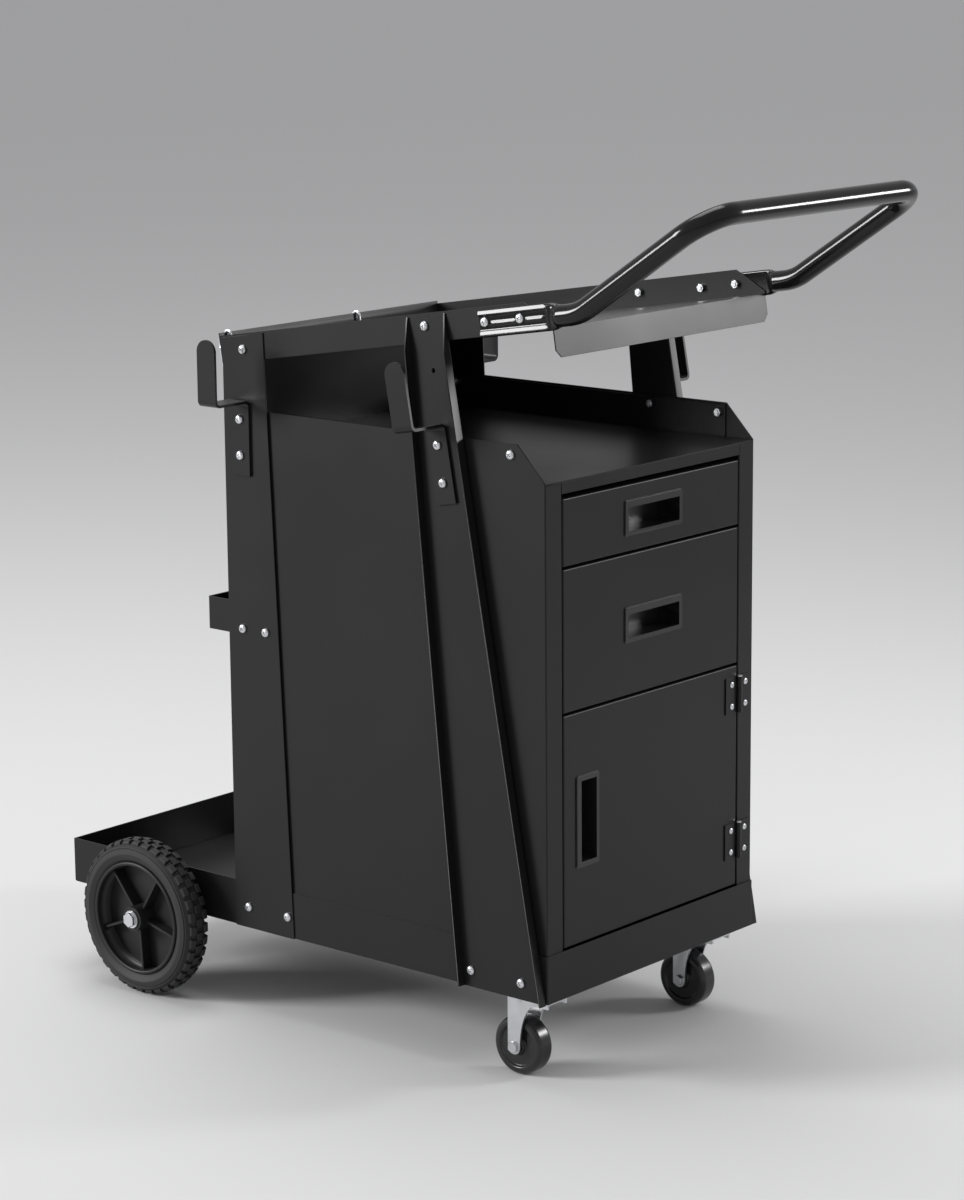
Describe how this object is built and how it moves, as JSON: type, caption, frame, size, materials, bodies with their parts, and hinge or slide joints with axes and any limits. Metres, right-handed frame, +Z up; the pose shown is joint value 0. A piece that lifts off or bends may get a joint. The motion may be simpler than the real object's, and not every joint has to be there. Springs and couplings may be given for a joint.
{
  "type": "welding cart",
  "caption": "Steel workshop cart: drawer cabinet on a pan, sloping top tray, push handle, cable hooks, rear wheels on an axle, swivel casters in front and a tank bay behind.",
  "frame": {"origin": "on the floor, in the middle of the cart's bounding box", "axes": "-Y towards the drawers and the push handle, +Y towards the tank bay, +X to the right of someone who faces the drawers, +Z up"},
  "size_m": [0.465, 0.92, 0.925],
  "materials": {
    "painted_steel": "black powder coat, slightly textured, semi-gloss",
    "zinc": "bright zinc plate",
    "tyre_rubber": "matte solid rubber",
    "black_plastic": "fine-grained black moulding"
  },
  "bodies": {
    "cart_frame": {"base_pan": "painted_steel", "pan_rear_wall": "painted_steel", "left_side_panel": "painted_steel", "right_side_panel": "painted_steel", "back_panel": "painted_steel", "cabinet_top_shelf": "painted_steel", "cabinet_divider": "painted_steel", "rail_brackets": "painted_steel", "left_rear_upright": "painted_steel", "right_rear_upright": "painted_steel", "left_front_leg": "painted_steel", "right_front_leg": "painted_steel", "top_tray": "painted_steel", "handle_tube": "painted_steel", "left_front_hook": "painted_steel", "left_rear_hook": "painted_steel", "right_front_hook": "painted_steel", "right_rear_hook": "painted_steel", "tank_strap": "painted_steel", "hinge_frame_leaves": "painted_steel", "tank_chain": "zinc", "chain_hooks": "zinc", "frame_screws": "zinc", "rear_axle": "zinc", "axle_saddles": "zinc", "axle_spacers": "zinc", "axle_nuts": "zinc", "left_caster_plate": "zinc", "left_caster_kingpin": "zinc", "right_caster_plate": "zinc", "right_caster_kingpin": "zinc", "drawer_1_outer_rails": "zinc", "drawer_2_outer_rails": "zinc", "hinge_pins": "zinc", "door_catch": "black_plastic"},
    "left_wheel": {"left_wheel_tyre": "tyre_rubber", "left_wheel_rim": "black_plastic", "left_wheel_bushes": "black_plastic"},
    "right_wheel": {"right_wheel_tyre": "tyre_rubber", "right_wheel_rim": "black_plastic", "right_wheel_bushes": "black_plastic"},
    "left_caster_swivel": {"left_caster_fork": "zinc", "left_caster_bolt": "zinc"},
    "right_caster_swivel": {"right_caster_fork": "zinc", "right_caster_bolt": "zinc"},
    "left_caster_roller": {"left_caster_wheel": "tyre_rubber"},
    "right_caster_roller": {"right_caster_wheel": "tyre_rubber"},
    "drawer_1": {"drawer_1_bin": "painted_steel", "drawer_1_front": "painted_steel", "drawer_1_pull": "black_plastic", "drawer_1_inner_rails": "zinc"},
    "drawer_2": {"drawer_2_bin": "painted_steel", "drawer_2_front": "painted_steel", "drawer_2_pull": "black_plastic", "drawer_2_inner_rails": "zinc"},
    "door": {"door_panel": "painted_steel", "door_pull": "black_plastic", "hinge_door_leaves": "painted_steel", "door_screws": "zinc", "catch_strike": "zinc"}
  },
  "joints": [
    {"name": "left_wheel_spin", "type": "hinge", "parent": "cart_frame", "child": "left_wheel", "pos_m": [-0.207, 0.315, 0.089], "axis": [1, 0, 0], "continuous": true},
    {"name": "left_caster_turn", "type": "hinge", "parent": "cart_frame", "child": "left_caster_swivel", "pos_m": [-0.142, -0.207, 0.088], "axis": [0, 0, 1], "continuous": true},
    {"name": "left_caster_spin", "type": "hinge", "parent": "left_caster_swivel", "child": "left_caster_roller", "pos_m": [-0.142, -0.185, 0.0315], "axis": [1, 0, 0], "continuous": true},
    {"name": "right_wheel_spin", "type": "hinge", "parent": "cart_frame", "child": "right_wheel", "pos_m": [0.207, 0.315, 0.089], "axis": [1, 0, 0], "continuous": true},
    {"name": "right_caster_turn", "type": "hinge", "parent": "cart_frame", "child": "right_caster_swivel", "pos_m": [0.142, -0.207, 0.088], "axis": [0, 0, 1], "continuous": true},
    {"name": "right_caster_spin", "type": "hinge", "parent": "right_caster_swivel", "child": "right_caster_roller", "pos_m": [0.142, -0.185, 0.0315], "axis": [1, 0, 0], "continuous": true},
    {"name": "drawer_1_slide", "type": "slide", "parent": "cart_frame", "child": "drawer_1", "axis": [0, -1, 0], "range_m": [0, 0.3]},
    {"name": "drawer_2_slide", "type": "slide", "parent": "cart_frame", "child": "drawer_2", "axis": [0, -1, 0], "range_m": [0, 0.3]},
    {"name": "door_hinge", "type": "hinge", "parent": "cart_frame", "child": "door", "pos_m": [0.14875, -0.2485, 0.2805], "axis": [0, 0, 1], "range_deg": [0, 175]}
  ]
}
